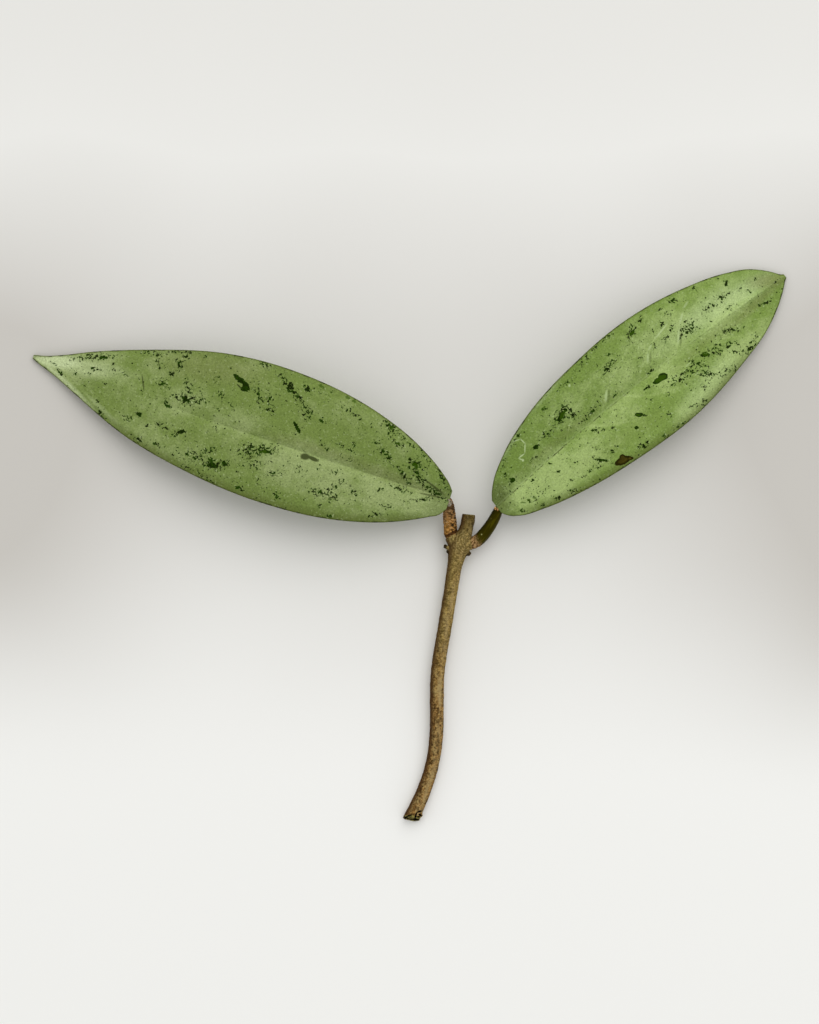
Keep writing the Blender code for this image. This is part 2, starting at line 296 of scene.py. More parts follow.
leafLeft = {
    "name": "bladeLeft",
    "node": "leaf_left",
    "base": (10.7, 12.5),
    "tip": (-100.5, 50.6),
    "bow": 0.85,
    "left": (3.0, 4.7, 6.1, 10.1, 14.3, 16.4, 15.1, 11.0, 5.7, 2.9, 1.4, 0.95, 0.55),
    "right": (2.2, 3.7, 5.7, 10.9, 16.3, 19.6, 18.4, 12.2, 6.5, 3.0, 1.1, 0.75, 0.45),
    "rise": (7.8, 9.4, 11.2, 9.6, 5.4, 2.2, 0.93),
    "fold": (11, 15, 11, 5, 0, -10, 0),
    "quilt": 0.07,
    "waves": 0.5,
    "seed": 3,
    "veinDepth": 0.02,
    "veinTint": 0.06,
    "ribLightAndShade": 0.12,
    "baseTint": 0.5,
    "creaseShade": (-0.3, 0),  # painted shade: how much darker the left side is beside the midrib, at base and tip
    "fleckShare": 1,
    "wedge": (),
    "green": (0.158, 0.221, 0.053),
    "silver": (0.282, 0.348, 0.138),
    "pale": (0.48, 0.56, 0.3),
    "silverAndSheen": (
        (-88, 49, 30, 10, -8, 0.6), (-20, 18, 60, 14, -20, 0.65), (-2, 12.5, 34, 8, -14, 0.95),
        (-55, 35, 50, 12, -20, 0.35), (-60, 48, 40, 7, -4, 0.2), (-68, 29, 34, 7, -30, 0.35),
        (-69, 45.6, 18, 6, 0, 0.35), (-12, 33, 26, 9, -28, 0.3),
    ),
    "paleAndLitPatches": ((-94, 49.4, 14, 4, -8, 0.9), (-86, 47.5, 20, 5, -10, 0.45), (-92, 43.7, 22, 1.8, -43, 0.6),
              (-82, 36.5, 14, 1.4, -43, 0.35)),
    "tingesAndShade": ((-52, 47.5, 26, 8, -5, 0.5), (-5, 18.5, 34, 3, -22, 0.4), (-22, 25, 30, 2.5, -17, 0.4)),
    "scratchesAndWrinkleShade": ((-71, 43.5, 5.5, 0.3, -83, -0.7), (6.8, 15.6, 7.5, 0.4, -38, -0.8),
                  (5.5, 13.5, 8, 0.35, -12, -0.7), (-27.8, 23.8, 3.2, 1.1, -5, -0.95),
                  (-25.6, 23.2, 3.8, 0.7, -25, -0.95), (-45.3, 42.5, 2.2, 0.25, -46, -1)),
    "flecks": {  # by strength
        0.12: ((-77.2, 41.6, 16, 6.9, -10), (-55.9, 38.9, 21.3, 13.3, -15), (-31.9, 38.9, 16, 10.7, -35),
            (-10.5, 28.3, 16, 10.7, -35), (-45.2, 20.3, 24, 8, -20), (-18.5, 14.9, 24, 6.9, -10)),
        0.35: ((-29.2, 20.3, 3.2, 1.6, -60),),
        0.4: ((-40.9, 17.9, 2.4, 0.9, -20),),
        0.45: ((-66.3, 47.7, 3.2, 1.9, -60), (-47.6, 37.9, 4, 2.4, -60), (-50.3, 36, 2.9, 1.1, -20)),
        0.5: ((-76.4, 46.1, 2.1, 1.3, -30), (-62, 24.9, 1.9, 1.9, -30)),
        0.55: ((-58.5, 20.9, 5.3, 1.1, -10), (-1.2, 28.3, 6.9, 1.1, -42)),
        0.6: ((-79.1, 48.3, 2.4, 0.9, -80), (-95.1, 48.7, 1.9, 0.5, -25), (-66, 43.5, 3.5, 2.4, -40),
            (-51.6, 44.5, 1.6, 1.3, -60), (-65.6, 31.9, 3.5, 1.6, -25), (-54, 29.9, 1.9, 1.3, -50),
            (-51.6, 31.7, 1.9, 1.3, -70), (-67.3, 27.2, 2.9, 1.2, -25), (-53.7, 17.6, 6.4, 1.2, -32),
            (-15.3, 24.8, 4, 1.2, -50), (4.4, 23.6, 5.9, 1.2, -55), (-8.9, 8.3, 4, 1.1, 5),
            (-36.4, 19.3, 3.5, 1.3, 8), (-41.5, 22.1, 3.7, 3.2, -40)),
        0.65: ((-83.9, 47.2, 2.9, 0.8, -12), (-22.4, 26.1, 2.7, 1.3, -40)),
        0.7: ((-83.9, 50.5, 10.1, 1.3, 3), (-59.5, 50.3, 1.6, 1.1, -60), (-54.5, 50.5, 1.3, 0.9, -30),
            (-82.3, 34.9, 3.2, 1.3, -55), (-61.2, 30.1, 5.9, 1.2, 18), (-57.1, 23.9, 4.8, 2.4, -15),
            (-38.5, 48.3, 2.4, 1.2, -35), (-22.8, 41.3, 2.1, 1.3, -40), (-37.2, 38.7, 3.7, 1.9, -65),
            (-33.7, 37.7, 2.1, 0.8, -80), (-27.1, 35.5, 4.5, 1.6, -70), (-15.9, 22.9, 1.6, 0.8, 0),
            (-7.9, 14.8, 1.9, 1.1, 15), (-6.3, 10.7, 3.2, 1.2, -10), (-35.1, 13.6, 2.4, 1.9, -30),
            (-19.3, 20.1, 1.9, 1.1, 10)),
        0.75: ((-60.4, 51.7, 5.9, 0.9, -3), (-58.5, 42, 4.3, 1.6, -75), (-45.6, 15.5, 2.4, 1.2, -20),
            (-43.6, 25.3, 3.7, 2.9, 20), (-36.8, 35.7, 4.5, 1.2, -25), (9.1, 17.6, 5.3, 1.7, -60),
            (-2.1, 15.2, 5.3, 1.6, -22), (3.6, 12.4, 5.9, 0.8, 6), (-19.3, 16, 4.5, 1.2, 35)),
        0.8: ((-93.3, 46.4, 1.7, 0.7, -40), (-63.7, 45.9, 1.9, 1.2, -30), (-49.9, 39.9, 2.4, 1.3, -45),
            (-75.1, 33.9, 2.1, 1.2, -15), (-72.3, 28.5, 2.1, 1.2, -20), (-52.9, 25.3, 4, 1.5, 10),
            (-8.8, 27.5, 2.1, 1.2, -10), (-2.9, 27.1, 3.7, 1.2, -22), (-1.6, 18.9, 5.3, 1.3, -50),
            (6.5, 14.5, 6.4, 1.6, -35), (-14.7, 14.4, 2.1, 1.5, -35), (-24.4, 14.4, 4.5, 1.7, -8),
            (-20.1, 12.7, 2.7, 1.1, 40), (-23.7, 10.7, 1.2, 0.8, 30), (-88.9, 45.9, 0.9, 0.7, 0),
            (-70, 48.3, 1.1, 0.8, 0)),
        0.85: ((-69.2, 51.3, 4.8, 1.2, -6), (-61.1, 48.3, 2.7, 1.6, -60), (-58.5, 39.1, 7.2, 2.4, -10),
            (-39.9, 40, 3.7, 1.6, -78), (-23.3, 33.6, 2.1, 1.1, -60), (-15.6, 35.7, 4.3, 1.2, -35),
            (-14.8, 27.1, 1.3, 1.1, -40), (-6.3, 24.1, 4.3, 1.7, -52), (-4.9, 31.3, 3.7, 2.1, -45),
            (-40.7, 25.6, 8.3, 2.7, -5), (-81.2, 43.2, 0.9, 0.7, 0), (-85.2, 46, 0.9, 0.7, 0)),
        0.9: ((-81.7, 50.4, 3.2, 1.1, 3), (-64.5, 37.6, 1.9, 0.9, -45), (-31.7, 42.1, 8.5, 1.7, -53),
            (-18.5, 26.8, 1.6, 1.3, -20), (-21.7, 8.1, 3.2, 0.9, -5), (-69.9, 32.3, 0.9, 0.8, 0),
            (-83.3, 38.7, 0.9, 0.7, 0)),
        0.95: ((-27.1, 41.5, 2, 1.5, -20), (-41.6, 41.6, 1.3, 1.1, -30), (1.7, 21.2, 3.7, 2.9, -40),
            (3.1, 17.5, 4.8, 1.6, -50), (-39.1, 25.3, 4.8, 1.6, -8)),
        1: ((-59.7, 38.9, 2.4, 1.9, -10), (-72.1, 35.1, 1.5, 1.2, -10), (-60.7, 30.4, 1.7, 1.1, 15),
            (-52.4, 21.7, 4, 2.4, -25), (-49.2, 21.9, 2.4, 1.6, 25)),
    },
    "patches": (
        (-45.9, 44.9, 2.3, 1.1, -52, 1), (-45, 44.1, 1.9, 1.5, -40, 1), (-43.7, 42.7, 3.2, 1.8, -60, 1),
        (-44.1, 41.7, 1.9, 1.1, -15, 1), (-44.9, 42.9, 1.2, 0.8, -45, -1), (-29.9, 31.5, 4, 0.9, -62, 1),
        (-59.6, 38.9, 1.3, 1.1, -20, 0.9), (-52.4, 21.5, 2.1, 1.6, -25, 1),
        (-49.2, 21.9, 1.3, 0.9, 25, 0.9), (-38.1, 25.1, 2.9, 1, -8, 0.9), (-72, 35.1, 1.3, 1.1, -10, 1),
        (-60.7, 30.4, 1.6, 1.1, 15, 1), (-27.1, 41.5, 1.5, 0.9, -25, 0.9),
    ),
    "olives": (
        (-16.5, 39.5, 1.6, 1.1, -30, 0.8), (-14.7, 38.5, 1.5, 0.8, -30, 0.8),
        (-23.3, 42.5, 1.9, 1.1, -25, 0.7), (1.7, 21.3, 2.4, 1.6, -40, 0.7),
        (-38.7, 25.1, 2.4, 1.3, -5, 0.6), (-4.9, 31.5, 1.9, 1.3, -45, 0.6),
        (-3.1, 27.3, 2.1, 0.9, -20, 0.8),
    ),
}

leafRight = {
    "name": "bladeRight",
    "node": "leaf_right",
    "base": (23.3, 10.4),
    "tip": (100.3, 72.1),
    "bow": 2.1,
    "left": (2.1, 3.4, 5.2, 9.0, 12.6, 14.9, 15.4, 13.0, 9.6, 6.6, 2.7, 1.1, 0.55),
    "right": (2.2, 3.8, 5.6, 9.0, 12.7, 15.6, 16.1, 12.8, 8.8, 5.3, 2.2, 1.1, 0.6),
    "rise": (7.8, 9.3, 11.0, 9.3, 5.6, 2.5, 0.9),
    "fold": (11, 16, 13, 5, -3, -12, 0),
    "quilt": 0.25,
    "waves": 0.6,
    "seed": 8,
    "veinDepth": 0.05,
    "veinTint": 0.28,
    "ribLightAndShade": 0.3,
    "baseTint": 0.9,
    "creaseShade": (0.2, -0.26),
    "fleckShare": 0.88,
    "green": (0.172, 0.258, 0.054),
    "silver": (0.316, 0.414, 0.143),
    "pale": (0.48, 0.59, 0.31),
    "silverAndSheen": (
        (39, 18.7, 34, 11, 33, 1.0), (34, 16.5, 26, 9, 28, 0.9), (79, 60, 40, 12, 36, 0.6),
        (66, 53, 34, 14, 38, 0.6), (85.5, 45.5, 38, 9, 50, 1.05), (60, 38, 40, 8, 38, 0.5),
        (42, 38, 26, 8, 42, 0.35),
    ),
    "paleAndLitPatches": (
        (80, 62.8, 26, 8, 36, 0.38), (89, 67.8, 18, 6, 30, 0.4), (79.5, 42.5, 26, 9, 48, 0.28),
        (73, 57.5, 26, 6, 38, 0.25), (64, 56, 16, 5, 40, 0.15), (27.5, 29, 16, 2, 64, 0.35),
        (36.5, 41, 16, 2, 50, 0.35),
    ),
    "tingesAndShade": ((40, 28.5, 26, 2, 40, 0.3), (58, 29, 30, 5, 35, 0.15), (92, 64.3, 18, 2.2, 43, 0.6),
               (80, 55.3, 22, 1.8, 42, 0.3), (96, 70.8, 10, 4, 8, 0.9)),
    "scratchesAndWrinkleShade": (
        (28.5, 28.1, 2.8, 0.22, 19, 0.6), (30.1, 27.9, 2.6, 0.24, -45, 0.7), (30.7, 26, 3.6, 0.24, 88, 0.7),
        (29.8, 24, 2.8, 0.26, 37, 0.8), (30.2, 22.8, 1, 0.4, 60, 0.8), (29.6, 23.1, 1.6, 0.25, -20, 0.8),
        (42.5, 32.1, 0.9, 0.22, 0, 0.5), (42, 31.5, 0.9, 0.22, 75, -0.5), (43, 31.5, 0.9, 0.22, -75, -0.4),
        (42.5, 42.7, 0.9, 0.6, 0, 0.6), (67, 57.2, 7.4, 0.35, 51, 0.5), (71.6, 55.7, 5.9, 0.45, 87, 0.4),
        (72.4, 60.8, 4.3, 0.45, 75, 0.4), (73.6, 64.3, 3.4, 0.45, 58, 0.35), (63.4, 50.1, 3.8, 0.5, 88, 0.4),
        (64, 52.9, 2.6, 0.45, 58, 0.35), (52.3, 39.9, 4.6, 0.5, 86, 0.5), (72.3, 55.5, 6, 0.35, 87, -0.4),
        (53, 39.9, 4.6, 0.45, 86, -0.4), (64.1, 50.1, 3.8, 0.4, 88, -0.3),
    ),
    "flecks": {  # by strength
        0.12: ((37.5, 20.3, 13.3, 6.4, 30), (42.8, 25.1, 13.3, 5.9, 35), (34.8, 14.9, 10.7, 4.3, 25),
            (56.1, 33.6, 10.7, 5.3, 35), (29.5, 28.3, 13.3, 5.3, 60), (61.5, 52.3, 16, 5.9, 35),
            (77.5, 42.9, 13.3, 4.8, 40), (90.8, 62.9, 10.7, 5.3, 50)),
        0.35: ((77.5, 56.3, 3.2, 1.1, 60),),
        0.4: ((65.5, 36.8, 2.7, 1.6, 0),),
        0.45: ((26.8, 14.4, 2.1, 1.6, -20),),
        0.5: ((60.3, 30.1, 1.6, 1.1, 0), (52.4, 25.1, 2.4, 1.9, -30)),
        0.6: ((52.9, 31.3, 4.3, 1.1, 5), (72.3, 55.9, 2.1, 1.2, 60), (85.1, 63.7, 2.1, 1.3, 35),
            (92.3, 55.6, 3.5, 1.3, 50), (87.2, 52, 2.7, 1.2, 5), (97.2, 70.5, 1.6, 0.8, 30),
            (96.4, 65.6, 1.9, 0.8, 55)),
        0.62: ((32.4, 12.5, 3.5, 2.1, -10),),
        0.65: ((41.3, 42.9, 4.5, 1.1, 40), (35.9, 14.8, 3.7, 1.1, 30), (69.5, 58.1, 2.4, 1.1, 60)),
        0.7: ((27.6, 27.2, 3.2, 1.2, 58), (25.1, 22, 3.2, 1.2, 70), (58.3, 54.4, 2.1, 1.3, 45),
            (49.6, 21.2, 2.1, 1.2, -20), (49.5, 26.1, 1.9, 1.1, -20), (69, 61.8, 1.6, 1.2, -10),
            (64.8, 53.6, 1.7, 1.3, -45), (84.9, 46.8, 4.5, 1.9, 20), (69.3, 34.9, 1.7, 1.2, 10),
            (78.7, 42.4, 1.6, 1.5, 20)),
        0.75: ((36.4, 29.7, 4.3, 1.3, 25), (46.5, 49.2, 5.3, 1.6, 52), (53.5, 51.3, 2.1, 0.8, 20),
            (52.5, 55.6, 3.2, 1.2, 42), (48.9, 36.5, 5.6, 1.2, 50), (63.6, 42.4, 2.7, 0.9, 32),
            (68, 29.5, 2.4, 1.3, 30)),
        0.8: ((43.2, 35.1, 3.5, 2.3, -35), (35.5, 36.5, 3.2, 1.2, 42), (43.6, 14.8, 2.1, 1.2, 20),
            (62.1, 26.8, 2.7, 1.9, 30), (88.3, 68.4, 1.5, 0.8, 70), (90.5, 67.9, 1.3, 1.1, 30),
            (92.5, 71.2, 1.1, 0.8, 10), (71.6, 44, 4, 1.7, 20), (76.3, 37.3, 4, 1.1, 8),
            (71.6, 32.3, 2.4, 1.2, 32)),
        0.85: ((33.1, 23.2, 1.9, 0.9, 60), (53.2, 48, 5.3, 1.5, 48), (64, 46.8, 2.4, 1.1, 35),
            (39.2, 12.8, 2.1, 0.8, -5), (30.1, 9.5, 1.7, 0.9, -5), (81.5, 64.9, 6.7, 1.9, 37),
            (68.1, 55.4, 2.1, 1.3, 45), (94.5, 64.5, 3.2, 1.1, 22), (81.6, 52.3, 3.2, 2.1, 30),
            (79.3, 45.9, 4.8, 1.5, -10), (91.1, 52.7, 2.9, 1.5, 50), (41.7, 23.2, 0.9, 0.8, 0),
            (44.4, 22.4, 1.1, 0.8, 0), (32.7, 17.3, 1.1, 0.8, 0), (31.6, 15.2, 0.9, 0.8, 0)),
        0.9: ((25.5, 18.8, 1.6, 1.3, 40), (50.1, 48.4, 1.1, 0.8, 60), (61.7, 49.7, 1.1, 1.1, 20),
            (54.5, 40.3, 1.2, 0.8, 50), (50, 30.9, 2.1, 1.3, 10), (50.9, 22.9, 4.5, 1.2, -8),
            (46.5, 18.6, 1.2, 0.9, 0), (47.9, 19.9, 1.2, 0.8, 30), (54.1, 25.3, 1.2, 0.9, -20),
            (74.4, 58.1, 3.5, 2.7, 30), (67.1, 58.9, 1.5, 1.1, 30), (59.1, 58.5, 1.5, 1.2, 30),
            (86, 57.7, 5.1, 1.1, 12), (74.9, 49.1, 2, 1.5, -30), (77.5, 48.3, 3.2, 1.6, -15),
            (73.9, 46.3, 4.8, 1.9, 25), (78.8, 38.9, 1.2, 1.1, 30), (87.3, 54, 1.1, 0.9, 0),
            (68.7, 40.3, 1.1, 0.7, 0), (64.4, 38.9, 1.5, 0.8, -10), (39.5, 19.7, 1.1, 0.8, 0),
            (55.1, 26.4, 1.1, 0.8, 0), (37.2, 22.1, 0.9, 0.8, 0), (43.1, 17.6, 0.9, 0.8, 0)),
        0.95: ((40.3, 34.4, 5.3, 2.4, 60), (29.1, 29.3, 1.3, 1.1, 30), (49.3, 52.9, 1.2, 0.9, 50),
            (59.2, 56.7, 2.7, 1.9, 50), (35.3, 11, 1.5, 0.9, 15), (66.5, 62.8, 1.2, 0.9, 30),
            (75.7, 68.6, 1.3, 0.9, 20), (84.5, 70.3, 1.2, 1.1, 0), (61.5, 60.1, 1.6, 1.2, 50),
            (85.1, 53.4, 2, 1.3, 60), (78.4, 50.9, 2.9, 1.3, 0), (54.1, 24.9, 1.2, 0.9, 30)),
        1: ((33.6, 26.5, 1.5, 1.2, 30), (27.5, 17.6, 1.7, 1.6, 50), (70.1, 65.5, 1.6, 1.1, 35)),
    },
    "patches": (
        (67.5, 45.1, 2.5, 1.9, 20, 1), (65.9, 43.9, 2.4, 1.5, 30, 1), (63.1, 42.1, 3.5, 0.4, 36, 0.9),
        (61.1, 34.9, 2.4, 1.1, 0, 1), (62.4, 34.8, 1.9, 0.5, -8, 0.9), (60.4, 31.4, 1.3, 1.1, 0, 1),
        (60.5, 30.9, 0.7, 0.5, 0, -1), (51.1, 22.9, 4, 0.6, -8, 1), (40.3, 34.7, 3.2, 1.2, 60, 0.9),
        (78.4, 50.8, 2.1, 0.9, -5, 1), (59.2, 56.7, 1.9, 1.1, 50, 1), (27.5, 17.5, 1.5, 1, 50, 1),
        (33.6, 26.5, 1.2, 0.9, 30, 1), (70.1, 65.5, 1.3, 0.7, 35, 1),
    ),
    "olives": (
        (66.9, 44.7, 3.5, 1.3, 28, 0.9), (40.7, 34.9, 2.7, 1.3, 60, 0.8), (78.8, 51.1, 1.9, 1.1, 10, 0.9),
        (59.2, 56.7, 1.6, 1.1, 50, 0.8), (60.7, 34.9, 1.6, 0.8, 0, 0.7), (31.7, 12.3, 1.6, 0.9, -10, 0.62),
        (33.2, 12.8, 1.5, 1.2, 20, 0.66), (30, 11.7, 1.1, 0.5, 0, 0.55), (30.3, 11.6, 2.4, 0.5, -5, 0.6),
        (35.6, 36.8, 1.9, 0.8, 42, 0.7),
    ),
    "wedge": ((56.7, 22.7, 4.3, 2, 25, 1), (56.6, 23.7, 1.5, 1.4, 0, 1), (58.5, 23.3, 2.2, 0.9, 8, 1)),
}


def leafSpan(leaf):  # length in mm and heading of the line from base to tip
    reach = Vector(leaf["tip"]) - Vector(leaf["base"])
    return reach.length, math.atan2(reach.y, reach.x)


def makeBlade(leaf):
    build = bladeBuild
    columns = build["columnPlaces"]
    length, heading = leafSpan(leaf)
    deselectAll()
    bpy.ops.mesh.primitive_grid_add(x_subdivisions=build["rows"], y_subdivisions=2 * len(columns), size=1)
    blade = bpy.context.object
    blade.name = leaf["name"]
    startEditing(blade)
    bpy.ops.mesh.select_all(action="SELECT")
    bpy.ops.transform.resize(value=(length * mm, 2, 1))
    bpy.ops.transform.translate(value=(build["aside"] + length / 2 * mm, 0, 0))
    for k, aside in enumerate(columns):  # columns crowd at the midrib and the margins
        was = (k + 1) / len(columns)
        lift = aside - build["foldEase"] * aside**2
        for side in (1, -1):
            selectWhere(blade, lambda co: abs(co.y - side * was) < 0.001 and co.z == 0)
            bpy.ops.transform.translate(value=(0, side * (aside - was), lift))
    for row in range(build["rows"] + 1):
        start = build["aside"] + row / build["rows"] * length * mm
        shapeRow(blade, leaf, start, (1 - math.cos(math.pi * row / build["rows"])) / 2, length)
    bpy.ops.object.mode_set(mode="OBJECT")
    undulate(blade, leaf, length)
    thicken(blade, leaf, length)
    addModifier(blade, "SUBSURF", levels=build["levels"], render_levels=build["levels"])
    blade.location = (leaf["base"][0] * mm, leaf["base"][1] * mm, 0)
    blade.rotation_euler = (0, 0, heading)
    settle(blade, leaf["node"])
    markBlade(blade, leaf, length, heading)


def shapeRow(blade, leaf, start, share, length):  # one row: width, fold, groove, margins, place, height
    build = bladeBuild
    fold = math.tan(math.radians(smoothThrough(share, foldShares, leaf["fold"])))
    widest = 0
    for side, halves in ((1, leaf["left"]), (-1, leaf["right"])):
        width = float(smoothThrough(share, leafShares, halves))
        widest = max(widest, width)
        selectWhere(blade, lambda co: abs(co.x - start) < 1e-5 and co.y * side > 0)
        value = (1, width * mm, fold * width * mm)
        bpy.ops.transform.resize(value=value, center_override=(start, 0, 0))
        roll = build["marginRoll"] * min(1, width / build["rollFullAt"]) ** 2
        for place, rollShare in build["rollSteps"]:
            selectWhere(blade, lambda co: abs(co.x - start) < 1e-5 and co.y * side > place * width * mm)
            bpy.ops.transform.translate(value=(0, 0, -roll * rollShare * mm))
    selectWhere(blade, lambda co: abs(co.x - start) < 1e-5 and abs(co.y) < 1e-6)
    groove = build["groove"] * min(1, widest / build["grooveFullAt"])
    bpy.ops.transform.translate(value=(0, 0, -groove * mm))
    selectWhere(blade, lambda co: abs(co.x - start) < 1e-5)
    bow = leaf["bow"] * 4 * share * (1 - share)
    rise = float(smoothThrough(share, riseShares, leaf["rise"]))
    bpy.ops.transform.translate(value=(share * length * mm - start, bow * mm, rise * mm))


def leafPlaces(places, leaf, length):  # along as a share, across in mm, and the half width there
    shares = np.clip(places[:, 0] / length, 0, 1)
    across = places[:, 1] - leaf["bow"] * 4 * shares * (1 - shares)
    left = smoothThrough(shares, leafShares, leaf["left"])
    right = smoothThrough(shares, leafShares, leaf["right"])
    return shares, across, np.where(across > 0, left, right)


def veinPhase(leaf, shares, across, length):  # whole numbers lie on the side veins
    build = bladeBuild
    away = np.abs(across)
    along = shares * length - build["veinLean"] * away - build["veinCurve"] * away**2
    return (along + np.where(across > 0, 0, 5)) / build["veinSpacing"] + leaf["seed"]


def undulate(blade, leaf, length):  # slow waves, and a slight pillow between the side veins
    places = vertexPlaces(blade)
    shares, across, widths = leafPlaces(places, leaf, length)
    inside = np.clip(np.abs(across) / widths, 0, 1)
    pillow = 0.5 - 0.5 * np.cos(2 * np.pi * veinPhase(leaf, shares, across, length))
    relief(blade, pillow * np.sin(np.pi * inside) * np.sin(np.pi * shares), leaf["quilt"], "Z")
    waves = roughness(places + 50 * leaf["seed"], bladeBuild["waveScale"], 2)
    relief(blade, waves * np.sin(np.pi * shares) * (0.4 + 0.6 * inside), leaf["waves"], "Z")


def thicken(blade, leaf, length):  # thin at the margins, with a keel under the midrib
    build = bladeBuild
    shares, across, widths = leafPlaces(vertexPlaces(blade), leaf, length)
    body = build["bladeThickness"] - build["marginThickness"]
    body = body * np.minimum(1, widths / build["bodyFullAt"])
    keel = (build["keelThickness"] - build["bladeThickness"]) * np.sin(np.pi * shares**0.6) ** 0.7
    keel *= np.exp(-((across / build["keelHalfWidth"]) ** 2))
    thickness = build["marginThickness"] + body * (1 - np.abs(across / widths) ** 3) + keel
    group = blade.vertex_groups.new(name="thickness")
    for index, value in enumerate(thickness / build["keelThickness"]):
        group.add([index], float(value), "REPLACE")
    blade.data.materials.append(bladeFinish(leaf))
    blade.data.materials.append(undersideFinish(leaf))
    addModifier(blade, "SOLIDIFY", thickness=build["keelThickness"] * mm, offset=-1,
                vertex_group="thickness", material_offset=1, material_offset_rim=0, use_rim=True)


def markBlade(blade, leaf, length, heading):  # marks for the material, relief for veins and wedge
    places = vertexPlaces(blade)
    away = places[:, :2] - np.array(leaf["base"])
    turned = np.stack((away[:, 0] * math.cos(heading) + away[:, 1] * math.sin(heading),
                       away[:, 1] * math.cos(heading) - away[:, 0] * math.sin(heading)), 1)
    shares, across, widths = leafPlaces(turned, leaf, length)
    phase = veinPhase(leaf, shares, across, length)
    fromVein = np.abs(phase - np.round(phase)) * bladeBuild["veinSpacing"]
    inside = np.abs(across) / widths
    edge = widths - np.abs(across)
    veins = (1 - ease(fromVein, 0.1, 0.7)) * (1 - ease(inside, 0.45, 0.85)) * (1 - ease(shares, 0.85, 0.97))
    nearSide = across * math.cos(heading) < 0  # the margin away from the light
    shaded = nearSide * (1 - ease(edge, 0.2, 3)) * ease(shares, 0, 0.1) * (1 - ease(shares, 0.72, 0.85))
    flecks = [(*mark, strength) for strength, marks in leaf["flecks"].items() for mark in marks]
    flecks = ovals(places, flecks, 1.6) * leaf["fleckShare"]
    wedge = ovals(places, leaf["wedge"])
    paint(blade, veins=veins, edge=edge, shaded=shaded, flecks=flecks, wedge=wedge)
    for name in ("patches", "olives", "silverAndSheen", "paleAndLitPatches", "tingesAndShade"):
        paint(blade, **{name: ovals(places, leaf[name])})
    upper = vertexNormals(blade)[:, 2] > 0.2
    relief(blade, 1 - veins * upper, leaf["veinDepth"])
    relief(blade, ease(wedge, 0.2, 0.8) * upper, -bladeBuild["wedgeDepth"])


bladeTones = {
    "tingeAndShade": (0.175, 0.18, 0.07),
    "shaded": (0.09, 0.115, 0.025),
    "base": (0.1, 0.135, 0.035),
    "amongFlecks": (0.13, 0.2, 0.045),
    "ribShadeTone": (0.07, 0.085, 0.025),
    "dust": (0.02, 0.04, 0.003),
    "dots": (0.008, 0.02, 0.001),
    "flecks": ((0.004, 0.01, 0.0003), (0.012, 0.04, 0.0005)),
    "patches": ((0.003, 0.01, 0.0001), (0.013, 0.043, 0.0002)),
    "olives": (0.03, 0.075, 0.001),
    "margin": (0.07, 0.09, 0.017),
    "marginDashes": (0.018, 0.022, 0.007),
    "wedge": ((0.016, 0.012, 0.0006), (0.085, 0.066, 0.008)),
    "slitAndShade": (0.04, 0.052, 0.014),
    "under": ((0.2, 0.27, 0.1), (0.27, 0.34, 0.15)),
    "underVeins": (0.33, 0.38, 0.19),
    "underRib": (0.36, 0.4, 0.2),
    "underSpecks": (0.12, 0.16, 0.05),
    "gloss": (0.08, (0.8, 1, 0.3, 1)),  # strength and tint
}


def bladeSpace(leaf, side):  # a material, places along and across the blade, distance from the midrib
    material, wire = newMaterial(leaf["name"] + side)
    length, heading = leafSpan(leaf)
    place = wire.place((*leaf["base"], 0), heading)
    x = place.part(0)
    rib = place.part(1) - x * (length - x) * (4 * leaf["bow"] / length**2)
    return material, wire, place, rib


